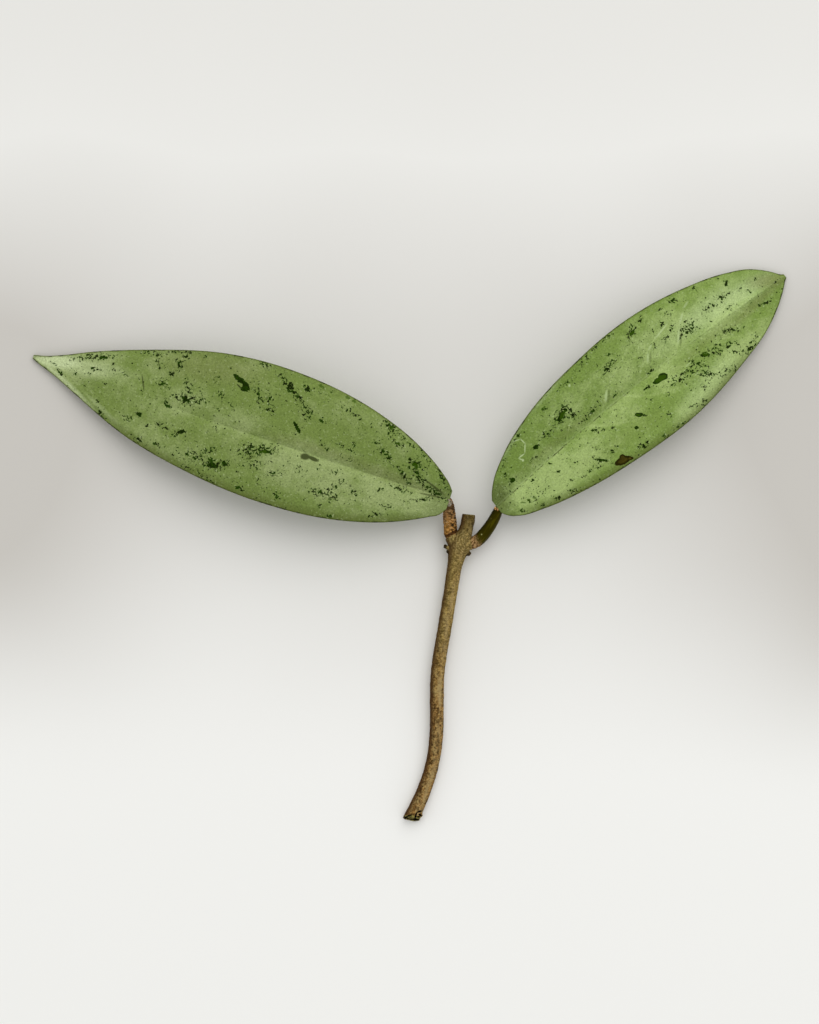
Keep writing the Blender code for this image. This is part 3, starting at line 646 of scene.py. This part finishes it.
def bladeFinish(leaf):
    tones = bladeTones
    material, wire, place, rib = bladeSpace(leaf, "Top")
    length = leafSpan(leaf)[0]
    x = place.part(0)
    broad = place.noise(0.11, 2, 0.5)
    blotch = place.noise(0.42, 3, 0.6)
    grain = place.noise(2.3, 2, 0.7)
    speck = place.noise(1.45, 3, 0.62, distortion=0.5)
    strings = abs(place.noise(0.7, 2, 0.5, distortion=0.6) - 0.5)
    dots = place.cells(0.36) + (blotch - 0.5) * 0.22
    dust = place.cells(0.8) + (speck - 0.5) * 0.35 + (broad - 0.5) * 0.2
    tone = place.noise(0.8, 2, 0.5, (1, 1, 3))
    density = wire.painted("flecks")
    edge = wire.painted("edge")

    # green under silver, paler and darker by zones that are partly painted sheen, highlight and shade, with a
    # painted step of light and shade at the midrib
    # painted sheen: the silver field holds the leaf's silver splash and also sheen painted where the blade
    # would catch the light
    silver = wire.painted("silverAndSheen") + (broad - 0.5) * 1.3 + (blotch - 0.5) * 1.2
    silver = silver + wire.painted("veins") * leaf["veinTint"]
    nearBase = 1 - (x + abs(rib - 2) * 0.6 + (blotch - 0.5) * 6).ease(2.5, 9)
    colour = silver.ease(-0.1, 1).mix(leaf["green"], leaf["silver"]).coated(
        # painted highlight: pale patches, partly light painted where the fold near the tips faces the lamp
        (wire.painted("paleAndLitPatches").ease(0, 1), leaf["pale"]),
        # tinges, partly painted shade on the far slope of the fold near the tip and along the upper margin of
        # the right tip
        (wire.painted("tingesAndShade") * 0.6, tones["tingeAndShade"]),
        (wire.painted("shaded") * 0.7, tones["shaded"]),
        (nearBase * leaf["baseTint"], tones["base"]),
        (density * 0.25, tones["amongFlecks"]),
    )
    far = x.ease(length * 0.5, length * 0.8)
    creaseShadeShare = (1 - far) * leaf["creaseShade"][0] + far * leaf["creaseShade"][1]
    creaseShade = (rib.ease(-0.35, 0.45) - rib.ease(-5, 5)) * creaseShadeShare
    # painted shade: the left half darker near the base, and the painted step of light and shade beside the
    # midrib, as if the fold were lit
    colour = colour.shade(1 + (grain - 0.5) * 1.1 - rib.ease(-2, 2) * (1 - far) * 0.08 - creaseShade)
    glints = place.noise(1.5, 2, 0.6).ease(0.61, 0.68) * (0.22 + density * 0.35)
    # painted highlight and shade: a pale line on one side of the midrib groove, a broken dark line on the
    # other
    ribHighlight = 1 - abs(rib - 0.22).ease(0.05, 0.25)
    ribShade = (1 - abs(rib + 0.12).ease(0.04, 0.22)) * blotch.ease(0.46, 0.58)
    ribShade = ribShade * (1 - x.ease(length * 0.3, length * 0.6) * 0.75)

    # dark flecks with broken edges, finer dots between them, margin line and brown wedge
    fleckMask = (speck + density * 0.25 - strings * 0.75 + (broad - 0.5) * 0.1).ease(0.625, 0.65)
    dustMask = 1 - (dust - density * 0.1).ease(0.05, 0.09)
    patchMask = (wire.painted("patches") + (speck - 0.5)).ease(0.42, 0.48)
    oliveMask = (wire.painted("olives") + (speck - 0.5) * 1.1).ease(0.42, 0.56)
    dashes = place.noise(0.7, 3, 0.6, (0.6, 1, 1)).ease(0.52, 0.58) * (1 - edge.ease(0.15, 0.55))
    wedge = wire.painted("wedge") + (speck - 0.5) * 0.4
    wedgeMask = wedge.ease(0.4, 0.48)
    brown = wedge.ease(0.76, 1) * (0.4 + blotch.ease(0.42, 0.56) * 0.6)
    colour = colour.coated(
        (glints, leaf["pale"]),
        (ribHighlight * (leaf["ribLightAndShade"] * 0.3), leaf["pale"]),
        (ribShade * (leaf["ribLightAndShade"] * 3), tones["ribShadeTone"]),
        (dustMask * 0.7, tones["dust"]),
        ((1 - dots.ease(0.06, 0.085)) * 0.9, tones["dots"]),
        (fleckMask, tone.ease(0.42, 0.62).mix(*tones["flecks"])),
        (patchMask, (blotch * 0.4 + grain * 0.6).ease(0.4, 0.6).mix(*tones["patches"])),
        (oliveMask * 0.7, tones["olives"]),
        ((1 - edge.ease(0.1, 0.55)) * 0.8, tones["margin"]),
        (dashes * 0.8, tones["marginDashes"]),
        (wedgeMask, brown.mix(*tones["wedge"])),
    )
    # real scratches and slits, and painted highlight and painted shade along wrinkles beside the side veins
    for centreX, centreY, long, wide, turn, strength in leaf["scratchesAndWrinkleShade"]:  # below 0 they are dark
        oval = wire.place((centreX, centreY, 8), math.radians(turn), (long / 2, wide, 99)).length()
        streak = 1 - oval.ease(0.3 if strength > 0 else 0.55, 1)
        colour = (streak * abs(strength)).mix(colour, leaf["pale"] if strength > 0 else tones["slitAndShade"])

    rough = 0.46 + (blotch - 0.5) * 0.3 + wedgeMask * 0.3
    height = grain * 0.6 - fleckMask * 0.25 - patchMask * 0.2
    return finishMaterial(material, colour, rough, height.bump(0.05), tones["gloss"])


def undersideFinish(leaf):
    tones = bladeTones
    material, wire, place, rib = bladeSpace(leaf, "Underside")
    grain = place.noise(1.8, 3, 0.6)
    colour = place.noise(0.13, 3, 0.6).ease(0.3, 0.7).mix(*tones["under"]).coated(
        (wire.painted("veins") * 0.5, tones["underVeins"]),
        ((1 - abs(rib).ease(0.8, 1.9)) * 0.7, tones["underRib"]),
        (grain.ease(0.6, 0.72) * 0.5, tones["underSpecks"]),
    )
    return finishMaterial(material, colour, 0.6, grain.bump(0.06))


for leaf in (leafLeft, leafRight):
    makeBlade(leaf)


# Stem and petioles: tubes drawn along x, y, z, radius, then fused and given their bark

stemBuild = {
    "path": (
        (-1.1, -75.6, 1.8, 2.05), (0.65, -72.3, 1.8, 2.02), (4.1, -64.6, 1.9, 1.8), (6.3, -57.2, 2.15, 1.74),
        (7.2, -49.7, 2.4, 1.78), (7.3, -42.2, 2.6, 1.81), (7.4, -35.5, 2.75, 1.8), (9.6, -20.5, 3.05, 1.79),
        (11.4, -9.6, 3.35, 1.83), (12.2, -4.5, 3.5, 2.0), (12.8, -2.0, 3.6, 2.4), (13.5, 0.7, 3.7, 2.75),
        (14.25, 2.4, 3.8, 2.3), (14.93, 3.9, 3.85, 1.84), (15.35, 5.6, 3.92, 1.66), (15.68, 7.1, 3.98, 1.8),
        (15.8, 8.0, 4.02, 1.84), (15.8, 8.4, 4.05, 1.68),
    ),
    "shoulders": (
        ((12.6, 0.1, 3.72, 2.0), (11.9, 1.3, 3.8, 1.85), (11.1, 2.7, 3.9, 1.72)),
        ((13.5, 0.25, 3.72, 2.0), (15.0, 0.5, 3.8, 1.75), (16.5, 0.7, 3.9, 1.62)),
    ),
    "nubs": (
        ((11.6, -1.1, 3.7, 0.7), (10.5, -0.6, 4.0, 0.55), (9.8, -0.25, 4.1, 0.45), (9.2, -0.05, 4.2, 0.5)),
        ((11.6, -1.0, 3.7, 0.6), (10.7, -1.4, 3.7, 0.5), (9.9, -1.6, 3.7, 0.35)),
        ((14.6, -0.9, 3.7, 0.6), (15.6, -1.7, 3.9, 0.5), (16.3, -2.2, 4.1, 0.42)),
        ((15.2, -1.4, 3.8, 0.45), (15.6, -2.1, 3.9, 0.42), (15.6, -2.6, 4.0, 0.34)),
    ),
    "flaps": (
        ((2.2, -72.3, 2.6, 0.45), (2.9, -72.1, 3.0, 0.42), (3.2, -71.8, 3.2, 0.36), (3.1, -71.4, 3.3, 0.28)),
        ((2.2, -70.9, 2.7, 0.3), (2.8, -70.95, 3.1, 0.26), (3.3, -70.6, 3.3, 0.2)),
        ((1.6, -71.3, 1.5, 0.8), (1.95, -72.4, 1.4, 0.78), (2.1, -73.1, 1.3, 0.68), (2.15, -73.4, 1.3, 0.5)),
    ),
    "cutPlace": (0.3, -72.75, 1.7),
    "cutFacing": (-0.15, -0.9, 0.4),
    "slits": (
        (-0.2, -72.05, 2.1, 0.42, 20, 1), (1.68, -71.95, 1.9, 0.5, 74, 1), (2.6, -70.92, 1.9, 0.42, 20, 1),
        (2.9, -71.85, 1.1, 0.55, -38, 1), (2.35, -72.3, 0.8, 0.4, 0, 1), (-1.0, -72.9, 2.4, 0.95, -17, 1),
        (0.35, -73.08, 1.6, 0.5, 8, 1), (1.85, -73.2, 2.2, 0.8, -13, 1), (-1.6, -72.65, 1, 0.8, 0, 1),
    ),
    "slitDepth": 0.5,
    "nodeCentre": (13.6, 0.6, 3.7),
    "swirlCentre": (15.0, 1.2, 6.0),
    "restHeight": 0.12,
    "voxel": 0.15,
    "sides": 20,
    "step": 1.4,
    "partSides": 12,
    "partStep": 0.5,
    "barkDepth": 0.13,
    "wrinkleDepth": 0.06,
    "slitReach": -2.4,  # how far up from the cut the slits go
}


def spaced(path, step):  # the path with stations at even spacing
    rows = np.array(path, float)
    gaps = np.linalg.norm(np.diff(rows[:, :3], axis=0), axis=1)
    stations = np.concatenate(([0], np.cumsum(gaps)))
    places = np.linspace(0, stations[-1], max(3, int(stations[-1] / step) + 1))
    return np.stack([smoothThrough(places, stations, rows[:, k]) for k in range(4)], 1)


def growTube(name, path, spacing, sides):  # a ring drawn out along the path
    rows = spaced(path, spacing)
    ahead = np.gradient(rows[:, :2], axis=0)
    headings = np.unwrap(np.arctan2(ahead[:, 1], ahead[:, 0]))
    deselectAll()
    bpy.ops.mesh.primitive_circle_add(vertices=sides, radius=rows[0, 3] * mm, fill_type="NGON",
                                      location=rows[0, :3] * mm,
                                      rotation=(math.pi / 2, 0, headings[0] + math.pi / 2))
    tube = bpy.context.object
    tube.name = name
    bpy.ops.object.transform_apply(location=True, rotation=True, scale=True)
    startEditing(tube)
    bpy.ops.mesh.select_all(action="SELECT")
    for k in range(1, len(rows)):
        centre = rows[k, :3] * mm
        step = (rows[k, :3] - rows[k - 1, :3]) * mm
        bpy.ops.mesh.extrude_region_move(TRANSFORM_OT_translate={"value": step})
        grow = rows[k, 3] / rows[k - 1, 3]
        bpy.ops.transform.resize(value=(grow, grow, grow), center_override=centre)
        bend = headings[k - 1] - headings[k]
        bpy.ops.transform.rotate(value=bend, orient_axis="Z", center_override=centre)
    bpy.ops.mesh.select_all(action="SELECT")
    bpy.ops.mesh.normals_make_consistent(inside=False)
    bpy.ops.object.mode_set(mode="OBJECT")
    return tube


def fuse(parts, voxel):  # join overlapping tubes into one skin
    pick(parts[0])
    for part in parts[1:]:
        part.select_set(True)
    if len(parts) > 1:
        bpy.ops.object.join()
    whole = bpy.context.object
    addModifier(whole, "REMESH", mode="VOXEL", voxel_size=voxel * mm)
    addModifier(whole, "SMOOTH", factor=0.5, iterations=2)
    return whole


def cutAcross(obj, place, facing):
    startEditing(obj)
    bpy.ops.mesh.select_all(action="SELECT")
    bpy.ops.mesh.bisect(plane_co=[c * mm for c in place], plane_no=facing, use_fill=True, clear_outer=True)
    bpy.ops.object.mode_set(mode="OBJECT")


def makeStem():
    build = stemBuild
    stem = growTube("stemSkin", build["path"], build["step"], build["sides"])
    cutAcross(stem, build["cutPlace"], build["cutFacing"])
    cutAcross(stem, (0, 0, build["restHeight"]), (0, 0, -1))
    parts = [stem]
    for k, path in enumerate(build["shoulders"] + build["nubs"] + build["flaps"]):
        parts.append(growTube(f"stemPart{k}", path, build["partStep"], build["partSides"]))
    stem = fuse(parts, build["voxel"])
    places = vertexPlaces(stem)
    normals = vertexNormals(stem)
    facing = np.array(build["cutFacing"])
    cutDepth = (places - np.array(build["cutPlace"])) @ facing
    cut = ease(cutDepth, -0.3, -0.12) * ease(normals @ facing, 0.3, 0.8)
    stubTop = ease(normals[:, 1], 0.6, 0.9) * ease(places[:, 1], 8.0, 8.3)
    fromNode = np.linalg.norm(places - np.array(build["nodeCentre"]), axis=1)
    nodeShare = 1 - ease(fromNode, 2.5, 5.5)
    fromTips = [np.linalg.norm(places - np.array(path[-1][:3]), axis=1) for path in build["nubs"]]
    nubs = 1 - ease(np.min(fromTips, axis=0), 0.6, 1.1)
    # painted shade on the side turned from the light, and a painted highlight band right of centre
    dimSide = ease(-normals[:, 0], 0.1, 0.9) * ease(normals[:, 2], -0.2, 0.3)
    paleSide = np.exp(-(((normals[:, 0] - 0.4) / 0.3) ** 2)) * ease(normals[:, 2], 0, 0.5)
    slits = ovals(places, build["slits"]) * (cutDepth > build["slitReach"]) * ease(normals[:, 2], -0.3, 0.2)
    paint(stem, cut=cut, stubTop=stubTop, nodeShare=nodeShare, nubs=nubs, dimSide=dimSide,
          paleSide=paleSide, slits=slits)
    bark = roughness(places, np.array((1.7, 0.7, 1.7)), 4)
    swirl = np.linalg.norm(places - np.array(build["swirlCentre"]), axis=1)
    wrinkles = 0.5 + 0.5 * np.sin(swirl * 10 + 12 * roughness(places, 0.4, 2))
    relief(stem, bark * (1 - 0.7 * stubTop) * ease(places[:, 2], 0.1, 0.5), build["barkDepth"])
    relief(stem, wrinkles * nodeShare * (1 - nubs), build["wrinkleDepth"])
    relief(stem, ease(slits, 0.3, 0.8), -build["slitDepth"])
    stem.data.materials.append(barkFinish())
    settle(stem, "stem")
    print("Stem:", len(stem.data.polygons), "faces")


barkTones = {
    "bark": ((0.2, 0.138, 0.038), (0.175, 0.083, 0.025)),  # upper and lower stem
    "zones": (0.15, 0.12, 0.035),
    "streaks": (0.4, 0.3, 0.12),
    "node": (0.17, 0.127, 0.042),
    "rings": ((0.05, 0.033, 0.009), (0.36, 0.29, 0.12)),
    "flecks": ((0.034, 0.017, 0.004), (0.46, 0.33, 0.12)),
    "paleSide": (0.38, 0.27, 0.115),
    "dimSide": (0.05, 0.021, 0.006),
    "pith": ((0.36, 0.3, 0.08), (0.035, 0.032, 0.003)),
    "stubTop": ((0.26, 0.21, 0.07), (0.1, 0.09, 0.02)),
    "nubs": ((0.2, 0.13, 0.07), (0.012, 0.007, 0.004)),
    "slits": (0.003, 0.002, 0.0005),
    "gloss": (0.04, (1, 0.8, 0.4, 1)),
}


def barkFinish():
    tones = barkTones
    material, wire = newMaterial("bark")
    place = wire.place()
    y = place.part(1)
    mottle = place.noise(0.75, 4, 0.68, (1, 0.7, 1))
    fleck = place.noise(1.9, 3, 0.72, (0.8, 1.1, 1))
    streak = place.noise(0.9, 3, 0.6, (1, 0.16, 1))
    zone = place.noise(0.16, 2, 0.5)
    swirl = wire.place(stemBuild["swirlCentre"]).length() * 8.5 + place.noise(0.5, 2) * 15
    rings = wire.sum("SINE", swirl)
    nodeShare = wire.painted("nodeShare")

    low = 1 - y.ease(-45, -15)
    colour = (low * 0.7).mix(*tones["bark"])
    colour = colour.shade(0.6 - low * 0.2 + mottle.ease(0.36, 0.64) * (0.9 + low * 0.35)).coated(
        (zone.ease(0.42, 0.6) * (1 - low) * 0.4, tones["zones"]),
        (streak.ease(0.48, 0.62) * 0.45, tones["streaks"]),
        (nodeShare * 0.4, tones["node"]),
        (rings.ease(0, 1) * nodeShare * 0.42, tones["rings"][0]),
        ((0 - rings).ease(0.1, 1) * nodeShare * 0.3, tones["rings"][1]),
        (fleck.ease(0.51, 0.6) * (0.62 + low * 0.28 - nodeShare * 0.2), tones["flecks"][0]),
        ((1 - fleck.ease(0.37, 0.46)) * 0.65, tones["flecks"][1]),
    )
    # painted highlight: a pale band on the lit side, below the node
    highlightBand = wire.painted("paleSide") * streak.ease(0.35, 0.55) * (1 - y.ease(-4, 0))
    tissue = fleck.ease(0.36, 0.6)
    colour = colour.shade(1 - y.ease(2.5, 6) * 0.5).coated(
        (highlightBand * (0.4 + low * 0.25), tones["paleSide"]),
        (wire.painted("dimSide") * (0.8 + low * 0.1), tones["dimSide"]),
        (wire.painted("cut"), tissue.mix(*tones["pith"])),
        (wire.painted("stubTop"), tissue.mix(*tones["stubTop"])),
        (wire.painted("nubs") * 0.9, fleck.ease(0.28, 0.36).mix(*tones["nubs"])),
        (wire.painted("slits").ease(0.35, 0.6), tones["slits"]),
    )
    height = mottle * 0.6 + fleck * 0.5 + streak * 0.4
    rough = 0.66 + (mottle - 0.5) * 0.4
    return finishMaterial(material, colour, rough, height.bump(0.3), tones["gloss"])


makeStem()

petioleBuild = {
    "step": 0.6,
    "sides": 16,
    "voxel": 0.1,
    "corkDepth": 0.12,
    "corkReach": (2.4, 4.0),  # mm from the foot
}

petioleLeft = {
    "name": "petioleLeftSkin",
    "node": "petiole_left",
    "path": (
        (11.2, 2.5, 3.9, 1.5), (11.05, 3.1, 3.95, 1.68), (10.95, 4.2, 4, 1.68), (10.88, 5.6, 4.1, 1.68),
        (10.7, 7.4, 4.35, 1.65), (10.55, 9.0, 4.75, 1.58), (10.45, 10.4, 5.35, 1.42), (10.3, 11.5, 6.0, 1.22),
        (10.05, 12.4, 6.5, 1.0), (9.3, 13.1, 6.7, 0.8),
    ),
    "pads": (((10.7, 11.4, 7.0), (0.55, 0.75, 0.4)), ((10.3, 12.3, 7.5), (0.5, 0.5, 0.3))),
    "slot": "petiole_cork",
    "ridges": 0.2,
    "foot": (11, 3, 3.9),
    "cork": ((0.33, 0.16, 0.036), (0.235, 0.125, 0.046)),  # at the foot and at the blade
    "flakes": (0.5, 0.33, 0.16),
    "cracks": (0.02, 0.012, 0.005),
    "seam": (0.035, 0.012, 0.004),
    "shadeUnderBlade": (0.05, 0.028, 0.011),
    "padTones": ((0.1, 0.085, 0.05), (0.38, 0.33, 0.25)),
    "gloss": (0.05, (1, 0.8, 0.4, 1)),
}

petioleRight = {
    "name": "petioleRightSkin",
    "node": "petiole_right",
    "path": (
        (16.3, 0.65, 3.9, 1.45), (17.0, 0.85, 3.93, 1.58), (17.9, 1.3, 4.0, 1.64), (18.9, 2.1, 4.07, 1.68),
        (19.9, 3.2, 4.15, 1.67), (21.2, 4.95, 4.45, 1.58), (22.4, 6.9, 4.95, 1.48), (23.2, 8.5, 5.55, 1.38),
        (23.7, 9.8, 6.2, 1.15), (24.4, 11.0, 6.6, 0.8),
    ),
    "pads": (((22.85, 10.1, 7.25), (0.25, 0.5, 0.25)), ((23.5, 9.95, 7.25), (0.25, 0.5, 0.25))),
    "slot": "petiole_olive",
    "ridges": 0.05,
    "foot": (16.6, 0.5, 3.9),
    "olive": ((0.026, 0.021, 0.0005), (0.05, 0.043, 0.001)),
    "oliveShadeSide": (0.009, 0.007, 0.0002),
    "scuffs": (0.14, 0.12, 0.02),
    "nibs": ((19.2, 3.1, 5.8), (21.6, 7.3, 6.4)),
    "nibTone": (0.4, 0.38, 0.15),
    "cork": ((0.1, 0.048, 0.014), (0.42, 0.26, 0.115)),
    "pits": (0.03, 0.017, 0.005),
    "padTones": ((0.25, 0.09, 0.02), (0.75, 0.48, 0.2)),
    "gloss": (0.07, (1, 1, 0.2, 1)),
}


def makePetiole(petiole, finish):
    build = petioleBuild
    parts = [growTube(petiole["name"], petiole["path"], build["step"], build["sides"])]
    for centre, size in petiole["pads"]:
        deselectAll()
        bpy.ops.mesh.primitive_uv_sphere_add(segments=12, ring_count=8, radius=mm,
                                             location=[c * mm for c in centre], scale=size)
        parts.append(bpy.context.object)
    skin = fuse(parts, build["voxel"])
    places = vertexPlaces(skin)
    fromFoot = np.linalg.norm(places - np.array(petiole["foot"]), axis=1)
    nearest = np.min([np.linalg.norm((places - np.array(centre)) / np.array(size), axis=1)
                      for centre, size in petiole["pads"]], axis=0)
    paint(skin, fromFoot=fromFoot, pads=1 - ease(nearest, 0.9, 1.4))
    ridges = roughness(places, np.array((1.3, 2.6, 1.3)), 3)
    cork = 1 - ease(fromFoot, *build["corkReach"])
    depth = np.maximum(petiole["ridges"], cork * build["corkDepth"])
    relief(skin, ridges * depth / depth.max(), depth.max())
    skin.data.materials.append(finish(petiole))
    settle(skin, petiole["node"])
    print("Petiole:", petiole["name"], len(skin.data.polygons), "faces")


def corkFinish(petiole):
    material, wire = newMaterial("petioleCork")
    place = wire.place()
    x, y = place.part(0), place.part(1)
    cork = place.noise(1.2, 4, 0.68, (1, 1.6, 1))
    cracks = place.noise(1.3, 3, 0.65, (1, 2, 1))
    side = (x - 10.7).ease(-0.8, 0.9)
    seam = abs(wire.place((9.9, 2.75, 0), math.radians(24)).part(1) + (cork - 0.5) * 0.8)
    colour = y.ease(4, 10).mix(*petiole["cork"])
    colour = cork.ease(0.38, 0.6).mix(colour.shade(0.42), colour.shade(1.4)).coated(
        ((1 - cracks.ease(0.36, 0.44)) * 0.6, petiole["flakes"]),
        (cracks.ease(0.49, 0.55) * (side * 0.7 + 0.28), petiole["cracks"]),
        ((1 - seam.ease(0.2, 0.6)) * 0.9, petiole["seam"]),
        # painted shade where the petiole runs under the blade
        ((1 - abs(y - 10.3).ease(0.4, 1.1)) * 0.8, petiole["shadeUnderBlade"]),
        (wire.painted("pads"), cork.ease(0.4, 0.6).mix(*petiole["padTones"])),
    )
    height = cork + cracks * 0.6
    rough = 0.6 + (cork - 0.5) * 0.4
    return finishMaterial(material, colour, rough, height.bump(0.16), petiole["gloss"])


def oliveFinish(petiole):
    material, wire = newMaterial("petioleOlive")
    place = wire.place((20, 4, 4), math.radians(58))  # x runs along the stalk
    cork = place.noise(1.5, 4, 0.65, (0.8, 1.5, 1))
    streak = place.noise(0.9, 2, 0.5, (0.2, 1.6, 1.6))
    foot = 1 - (wire.painted("fromFoot") + (cork - 0.5) * 5).ease(2.4, 3.2)
    # painted shade: the upper left side of the stalk darker
    oliveShadeSide = 1 - (wire.place().part(0) - wire.place().part(1) * 0.78).ease(15.1, 16.9)
    nibs = [1 - wire.place(nib).length().ease(0.08, 0.3) for nib in petiole["nibs"]]
    corky = cork.ease(0.4, 0.6).mix(*petiole["cork"])
    pits = place.noise(2.2, 2, 0.6).ease(0.55, 0.62)
    colour = streak.ease(0.42, 0.64).mix(*petiole["olive"]).coated(
        (oliveShadeSide * 0.85, petiole["oliveShadeSide"]),
        (cork.ease(0.64, 0.7) * 0.4, petiole["scuffs"]),
        *((nib * 0.7, petiole["nibTone"]) for nib in nibs),
        (foot, (pits * 0.7).mix(corky, petiole["pits"])),
        (wire.painted("pads"), cork.ease(0.4, 0.6).mix(*petiole["padTones"])),
    )
    rough = 0.32 + foot * 0.35 + (cork - 0.5) * 0.2
    height = cork * (foot + 0.25)
    return finishMaterial(material, colour, rough, height.bump(0.12), petiole["gloss"])


makePetiole(petioleLeft, corkFinish)
makePetiole(petioleRight, oliveFinish)


# Studio

studio = {
    "floorSize": 6.0,
    "floorPale": (0.86, 0.86, 0.83),
    "floorShade": (0.555, 0.535, 0.495),
    "frameHeight": 0.27307,  # what the picture's height covers on the surface
    "frameCentre": (0, 9.07),
    "cameraHeight": 2.4,
    "cameraReach": 20,
    "aimHeight": 5,
    "sensor": 36,
    "skyStrength": 0.7,
    "keyPlace": (0.5, 1.25, 1.8),
    "keyTarget": (0, 0.02, 0),
    "keyPower": 27.5,
    "keySize": 2.6,
}


def makeFloor():
    deselectAll()
    bpy.ops.mesh.primitive_plane_add(size=studio["floorSize"])
    floor = bpy.context.object
    floor.name = "floor"
    material, wire = newMaterial("paper")
    place = wire.place()
    # painted shade: a grey band across the middle and greyer sides, fading away from the frame, as the
    # light's falloff
    y = place.part(1) + (place.noise(0.012, 1) - 0.5) * 30
    shadeBand = (1 - abs(y - 40).ease(5, 105)).most(y.ease(40, 150) * 0.55)
    aside = abs(place.part(0)).ease(40, 130) * 0.66 * (1 - abs(y - 20).ease(20, 90))
    near = 1 - place.length().ease(160, 500)
    colour = ((shadeBand * 0.62 + aside) * (near * 0.7 + 0.3)).mix(studio["floorPale"], studio["floorShade"])
    finishMaterial(material, colour, 0.9)
    floor.data.materials.append(material)


def hang(name, data, place):  # put a camera or light in the scene
    obj = bpy.data.objects.new(name, data)
    bpy.context.scene.collection.objects.link(obj)
    obj.location = place
    return obj


def makeCamera():
    data = bpy.data.cameras.new("camera")
    distance = studio["cameraHeight"] - studio["aimHeight"] * mm
    data.sensor_width = studio["sensor"]
    data.lens = studio["sensor"] * distance / studio["frameHeight"]
    data.clip_end = studio["cameraReach"]
    x, y = studio["frameCentre"]
    bpy.context.scene.camera = hang("camera", data, (x * mm, y * mm, studio["cameraHeight"]))


def makeKeyLight():
    data = bpy.data.lights.new("keyLight", "AREA")
    data.shape = "DISK"
    data.size = studio["keySize"]
    data.energy = studio["keyPower"]
    light = hang("keyLight", data, studio["keyPlace"])
    away = Vector(studio["keyPlace"]) - Vector(studio["keyTarget"])
    light.rotation_mode = "QUATERNION"
    light.rotation_quaternion = away.to_track_quat("Z", "Y")


def makeSky():
    world = bpy.data.worlds.new("sky")
    bpy.context.scene.world = world
    world.use_nodes = True
    background = world.node_tree.nodes["Background"]
    background.inputs["Color"].default_value = (1, 1, 1, 1)
    background.inputs["Strength"].default_value = studio["skyStrength"]


makeFloor()
makeCamera()
makeSky()
makeKeyLight()
bpy.context.scene.view_settings.view_transform = "Standard"
print("Studio ready")
